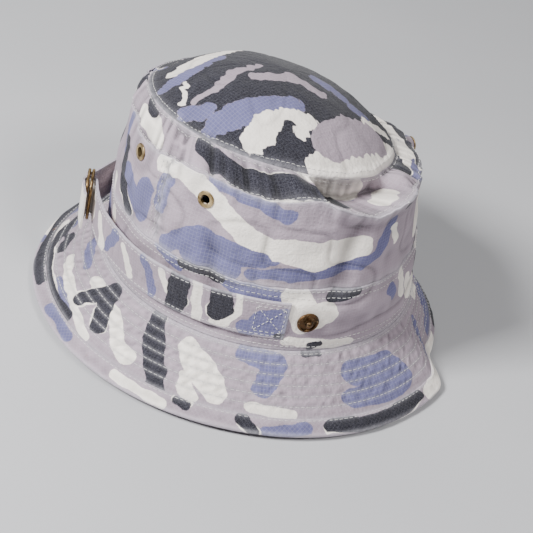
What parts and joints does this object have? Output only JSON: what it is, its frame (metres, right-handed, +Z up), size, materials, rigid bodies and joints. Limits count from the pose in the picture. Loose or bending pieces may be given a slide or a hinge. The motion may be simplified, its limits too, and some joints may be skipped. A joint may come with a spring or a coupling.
{
  "type": "bucket hat",
  "caption": "Soft cotton bucket hat with a sloping stitched brim, gathered domed crown, side strap through a pair of swinging D-rings, press stud and vent eyelets.",
  "frame": {"origin": "centre of the hat's footprint, on the plane that the edge of the brim rests on", "axes": "+Z up through the crown, -Y towards the front, -X towards the wearer's right side, where the strap is"},
  "size_m": [0.2634, 0.2634, 0.1557],
  "materials": {
    "camouflage_ripstop": "washed ripstop cotton, printed in navy, periwinkle, lilac grey and off-white",
    "inner_cloth": "reverse of the printed cotton, faded",
    "sweatband_cotton": "off-white cotton twill",
    "stiffener": "bonded non-woven interlining",
    "seam_tape": "cotton bias tape",
    "antique_brass": "antique brass, darkened in the hollows",
    "white_thread": "white polyester sewing thread"
  },
  "bodies": {
    "hat": {"crown_tip": "camouflage_ripstop", "upper_band": "camouflage_ripstop", "side_wall_front": "camouflage_ripstop", "side_wall_back": "camouflage_ripstop", "lower_band": "camouflage_ripstop", "lower_band_facing": "inner_cloth", "sweatband": "sweatband_cotton", "brim_seam_allowance": "inner_cloth", "brim_top": "camouflage_ripstop", "brim_stiffener": "stiffener", "brim_under": "camouflage_ripstop", "brim_binding": "camouflage_ripstop", "side_seam_tapes": "seam_tape", "wall_seam_tape": "seam_tape", "tip_seam_tape": "seam_tape", "strap": "camouflage_ripstop", "ring_loop": "camouflage_ripstop", "press_stud": "antique_brass", "press_stud_back": "antique_brass", "eyelets": "antique_brass", "eyelet_washers": "antique_brass", "brim_stitching": "white_thread", "band_stitching": "white_thread", "crown_stitching": "white_thread", "side_seam_stitching": "white_thread", "strap_stitching": "white_thread", "strap_box_stitching": "white_thread"},
    "outer_ring": {"d_ring_outer": "antique_brass", "strap_tail": "camouflage_ripstop"},
    "inner_ring": {"d_ring_inner": "antique_brass"}
  },
  "joints": [
    {"name": "outer_ring_swing", "type": "hinge", "parent": "hat", "child": "outer_ring", "pos_m": [-0.07123, 0.07908, 0.05224], "axis": [0, 0, -1], "range_deg": [-6, 18]},
    {"name": "inner_ring_swing", "type": "hinge", "parent": "hat", "child": "inner_ring", "pos_m": [-0.06951, 0.07741, 0.05224], "axis": [0, 0, -1], "range_deg": [-6, 18]}
  ],
  "couplings": [
    {"joint": "inner_ring_swing", "follows": "outer_ring_swing", "ratio": 1}
  ]
}
